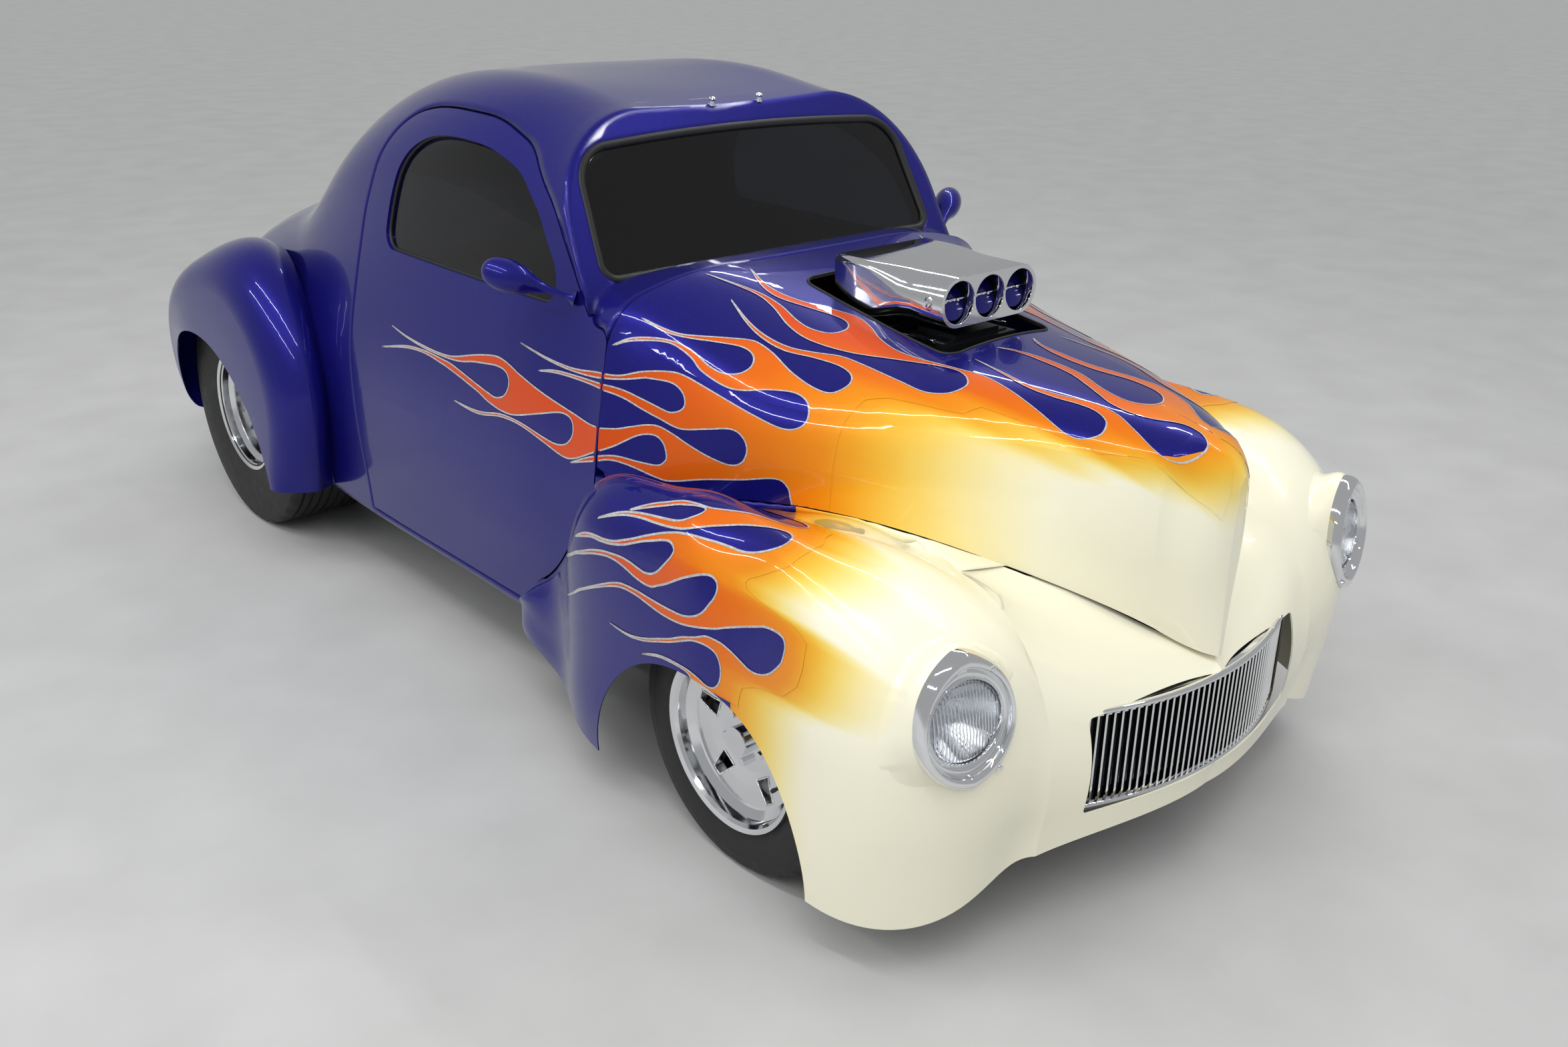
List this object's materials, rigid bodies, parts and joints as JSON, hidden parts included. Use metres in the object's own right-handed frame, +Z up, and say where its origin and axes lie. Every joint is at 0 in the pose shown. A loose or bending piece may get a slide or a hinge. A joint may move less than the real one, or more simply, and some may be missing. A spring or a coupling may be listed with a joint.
{
  "type": "hot rod coupe",
  "caption": "Chopped two-door hot rod coupe with a pointed hood, bulbous fenders, wide rear tyres and a blower scoop standing through the hood; doors, lids, wheels and steering move.",
  "frame": {"origin": "centre of the bounding box in plan, on the floor under the tyres", "axes": "+X to the car's left, +Y to its rear, +Z up"},
  "size_m": [1.7498, 4.2824, 1.5948],
  "materials": {
    "blue_paint": "deep gloss blue",
    "flame_paint": "gloss cream running to orange",
    "cream_paint": "gloss cream",
    "tinted_glass": "dark tint",
    "clear_glass": "clear ribbed",
    "tyre_rubber": "black rubber",
    "polished_alloy": "polished",
    "chrome_trim": "bright chrome",
    "dark_iron": "dark painted castings",
    "frame_black": "satin black",
    "red_leather": "dark red",
    "red_trim": "dark red",
    "red_lens": "red lens"
  },
  "bodies": {
    "chassis": {"body_shell": "blue_paint", "rear_fender_left": "blue_paint", "rear_fender_right": "blue_paint", "front_fender_left": "flame_paint", "front_fender_right": "flame_paint", "nose_panel": "cream_paint", "rear_glass": "tinted_glass", "windshield": "tinted_glass", "frame_rails": "frame_black", "crossmembers": "frame_black", "wishbones": "frame_black", "rear_axle": "dark_iron", "floor_pan": "frame_black", "engine_block": "dark_iron", "blower": "polished_alloy", "scoop": "polished_alloy", "scoop_butterflies": "polished_alloy", "grille": "chrome_trim", "headlight_bezels": "chrome_trim", "headlight_lenses": "clear_glass", "seats": "red_leather", "dashboard": "red_trim", "steering_column": "chrome_trim", "tail_lamps": "red_lens", "exhaust": "chrome_trim"},
    "door_left": {"door_left": "blue_paint", "door_glass_left": "tinted_glass", "mirror_left": "blue_paint"},
    "door_right": {"door_right": "blue_paint", "door_glass_right": "tinted_glass", "mirror_right": "blue_paint"},
    "hood": {"hood": "flame_paint"},
    "trunk_lid": {"trunk_lid": "blue_paint"},
    "knuckle_left": {"knuckle_left": "dark_iron"},
    "knuckle_right": {"knuckle_right": "dark_iron"},
    "front_wheel_left": {"tyre_front_left": "tyre_rubber", "wheel_front_left": "polished_alloy"},
    "front_wheel_right": {"tyre_front_right": "tyre_rubber", "wheel_front_right": "polished_alloy"},
    "rear_wheel_left": {"tyre_rear_left": "tyre_rubber", "wheel_rear_left": "polished_alloy"},
    "rear_wheel_right": {"tyre_rear_right": "tyre_rubber", "wheel_rear_right": "polished_alloy"},
    "steering_wheel": {"steering_wheel": "polished_alloy"}
  },
  "joints": [
    {"name": "door_left_hinge", "type": "hinge", "parent": "chassis", "child": "door_left", "pos_m": [0.714, -0.8168, 0.7], "axis": [0, 0, -1], "range_deg": [0, 60]},
    {"name": "door_right_hinge", "type": "hinge", "parent": "chassis", "child": "door_right", "pos_m": [-0.714, -0.8168, 0.7], "axis": [0, 0, 1], "range_deg": [0, 60]},
    {"name": "hood_hinge", "type": "hinge", "parent": "chassis", "child": "hood", "pos_m": [0, -2.1318, 0.545], "axis": [1, 0, 0], "range_deg": [0, 45]},
    {"name": "trunk_hinge", "type": "hinge", "parent": "chassis", "child": "trunk_lid", "pos_m": [0, 1.2832, 1.108], "axis": [1, 0, 0], "range_deg": [0, 60]},
    {"name": "steer_left", "type": "hinge", "parent": "chassis", "child": "knuckle_left", "pos_m": [0.652, -1.4168, 0.32], "axis": [0, 0, 1], "range_deg": [-20, 20]},
    {"name": "steer_right", "type": "hinge", "parent": "chassis", "child": "knuckle_right", "pos_m": [-0.652, -1.4168, 0.32], "axis": [0, 0, 1], "range_deg": [-20, 20]},
    {"name": "steering_wheel_turn", "type": "hinge", "parent": "chassis", "child": "steering_wheel", "pos_m": [0.33, -0.3118, 1.01], "axis": [0, 0.9136, 0.4067], "range_deg": [-240, 240]},
    {"name": "spin_front_left", "type": "hinge", "parent": "knuckle_left", "child": "front_wheel_left", "pos_m": [0.7, -1.4168, 0.32], "axis": [1, 0, 0], "continuous": true},
    {"name": "spin_front_right", "type": "hinge", "parent": "knuckle_right", "child": "front_wheel_right", "pos_m": [-0.7, -1.4168, 0.32], "axis": [1, 0, 0], "continuous": true},
    {"name": "spin_rear_left", "type": "hinge", "parent": "chassis", "child": "rear_wheel_left", "pos_m": [0.562, 1.2252, 0.402], "axis": [1, 0, 0], "continuous": true},
    {"name": "spin_rear_right", "type": "hinge", "parent": "chassis", "child": "rear_wheel_right", "pos_m": [-0.562, 1.2252, 0.402], "axis": [1, 0, 0], "continuous": true}
  ],
  "couplings": [
    {"joint": "steer_right", "follows": "steer_left", "ratio": 1},
    {"joint": "steering_wheel_turn", "follows": "steer_left", "ratio": 12}
  ]
}
